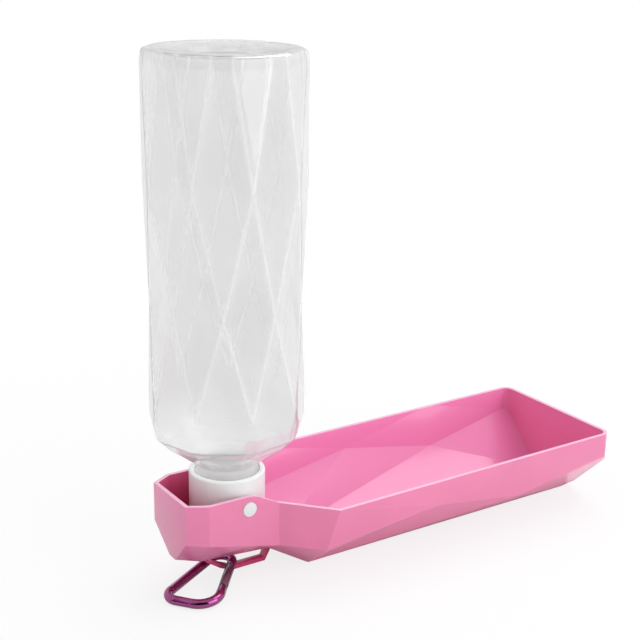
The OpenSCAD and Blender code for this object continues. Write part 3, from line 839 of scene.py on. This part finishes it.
FLOOR_HALF = 6.0
FLOOR_DROP = 0.2 * MM
FLOOR_ROUGH = 0.9
FLOOR_TINT_SCALE = 3.0
FLOOR_LOW = (0.94, 0.94, 0.94)
FLOOR_HIGH = (0.96, 0.96, 0.96)
FLOOR_BOUNCE = (0.75, 0.75, 0.75)
FLOOR_GLOW = 0.8
GLOW_NEAR = 0.16
GLOW_FAR = 0.34
MIRROR_NEAR = 0.02
MIRROR_FAR = 0.09


# 1 for rays that show the background, 0 for those that light the object
def seen_rays(tree):
    path = tree.nodes.new("ShaderNodeLightPath")
    return combine(tree, "MAXIMUM", path.outputs["Is Camera Ray"],
                   path.outputs["Is Transmission Ray"])


# 0 under the part and 1 a little way outside it
def outside_part(tree, place):
    low, high = CAD_BOX
    middle = ((low[0] + high[0]) / 2, (low[1] + high[1]) / 2, 0)
    half = ((high[0] - low[0]) / 2, (high[1] - low[1]) / 2, 0)
    from_middle = vector_step(tree, "ABSOLUTE", vector_step(tree, "SUBTRACT", place, middle))
    beyond = vector_step(tree, "MAXIMUM", vector_step(tree, "SUBTRACT", from_middle, half))
    return remap(tree, vector_step(tree, "LENGTH", beyond), 0.0, 1.0, MIRROR_NEAR, MIRROR_FAR)


# Where it is seen, the floor glows, and near the object it keeps a share of the shadow. Mirrored
# rays find it glowing outside the part. It lights the object as a greyer floor would.
def make_floor():
    half = FLOOR_HALF
    corners = [(-half, -half, 0), (half, -half, 0), (half, half, 0), (-half, half, 0)]
    mesh = bpy.data.meshes.new("floor")
    mesh.from_pydata(corners, [], [(0, 1, 2, 3)])
    floor = bpy.data.objects.new("floor", mesh)
    bpy.context.scene.collection.objects.link(floor)
    material, tree, shader = new_material("floor_pale")
    path = tree.nodes.new("ShaderNodeLightPath")
    tint = ramp(tree, noise(tree, FLOOR_TINT_SCALE, detail=2.0), FLOOR_LOW, FLOOR_HIGH)
    tint = blend_color(tree, path.outputs["Is Diffuse Ray"], tint, FLOOR_BOUNCE)
    tree.links.new(tint, shader.inputs["Base Color"])
    shader.inputs["Roughness"].default_value = FLOOR_ROUGH
    shader.inputs["Specular IOR Level"].default_value = 0.0
    place = tree.nodes.new("ShaderNodeTexCoord").outputs["Object"]
    far_off = vector_step(tree, "LENGTH", place)
    far_glow = remap(tree, far_off, FLOOR_GLOW, 1.0, GLOW_NEAR, GLOW_FAR)
    shown = combine(tree, "MULTIPLY", far_glow, seen_rays(tree))
    mirrored = combine(tree, "MULTIPLY", outside_part(tree, place), path.outputs["Is Glossy Ray"])
    glow = tree.nodes.new("ShaderNodeEmission")
    mix_surface(tree, combine(tree, "ADD", shown, mirrored, clamp=True), shader.outputs["BSDF"],
                glow.outputs["Emission"])
    mesh.materials.append(material)
    floor.location = (0, 0, -FLOOR_DROP)


ROOM_LEVEL = 0.62
MIRROR_LEVEL = 0.75
DARK_LEVEL = 0.03
DARK_SIDE = (-0.55, -0.83, 0.0)
DARK_START = 0.35
DARK_FULL = 0.6


# A white room. Rays that light the object find it plain and dimmer. Mirrored rays find it dark
# towards one side, that of the part's front left.
def make_world():
    world = bpy.data.worlds.new("studio")
    bpy.context.scene.world = world
    world.use_nodes = True
    tree = world.node_tree
    tree.nodes.clear()
    out = tree.nodes.new("ShaderNodeOutputWorld")
    back = tree.nodes.new("ShaderNodeBackground")
    feed(tree, (1, 1, 1), back.inputs["Color"])
    tree.links.new(back.outputs["Background"], out.inputs["Surface"])
    coords = tree.nodes.new("ShaderNodeTexCoord")
    path = tree.nodes.new("ShaderNodeLightPath")
    toward = vector_step(tree, "DOT_PRODUCT", coords.outputs["Generated"], DARK_SIDE)
    mirrored = remap(tree, toward, MIRROR_LEVEL, DARK_LEVEL, DARK_START, DARK_FULL)
    level = blend(tree, path.outputs["Is Glossy Ray"], ROOM_LEVEL, mirrored)
    level = blend(tree, seen_rays(tree), level, 1.0)
    tree.links.new(level, back.inputs["Strength"])


def area_light(name, place, target, size, power):
    data = bpy.data.lights.new(name, "AREA")
    data.shape = "RECTANGLE"
    data.size, data.size_y = size
    data.energy = power
    lamp = bpy.data.objects.new(name, data)
    bpy.context.scene.collection.objects.link(lamp)
    lamp.location = place
    way = Vector(target) - Vector(place)
    lamp.rotation_euler = way.to_track_quat("-Z", "Y").to_euler()


CAMERA_PLACE = (-0.35285, -0.4347, 0.2710)
CAMERA_RIGHT = (0.8343, -0.5512, 0.0165)
CAMERA_BACK = (-0.5296, -0.7926, 0.3020)
CAMERA_LENS = 72.64
CAMERA_SENSOR = 36.0
CAMERA_CLIP = 0.01


# The camera stands at the front left and looks slightly down
def make_camera():
    data = bpy.data.cameras.new("camera")
    data.sensor_width = CAMERA_SENSOR
    data.lens = CAMERA_LENS
    data.clip_start = CAMERA_CLIP
    camera = bpy.data.objects.new("camera", data)
    bpy.context.scene.collection.objects.link(camera)
    back = Vector(CAMERA_BACK).normalized()
    up = back.cross(Vector(CAMERA_RIGHT).normalized()).normalized()
    right = up.cross(back)
    pose = Matrix((right, up, back)).transposed().to_4x4()
    pose.translation = Vector(CAMERA_PLACE)
    camera.matrix_world = pose
    bpy.context.scene.camera = camera


make_floor()
make_world()
area_light("key", place=(0.60, 0.20, 1.0), target=(0, 0, 0.03), size=(0.95, 0.6), power=5.6)
area_light("fill_front", place=(0.4, -1.0, 0.45), target=(0, 0, 0.05), size=(0.9, 0.9), power=4.8)
area_light("fill_left", place=(-1.0, -0.25, 0.7), target=(0.05, 0, 0.03), size=(0.8, 0.8),
           power=0.6)
make_camera()

bpy.context.scene.view_settings.view_transform = "Standard"
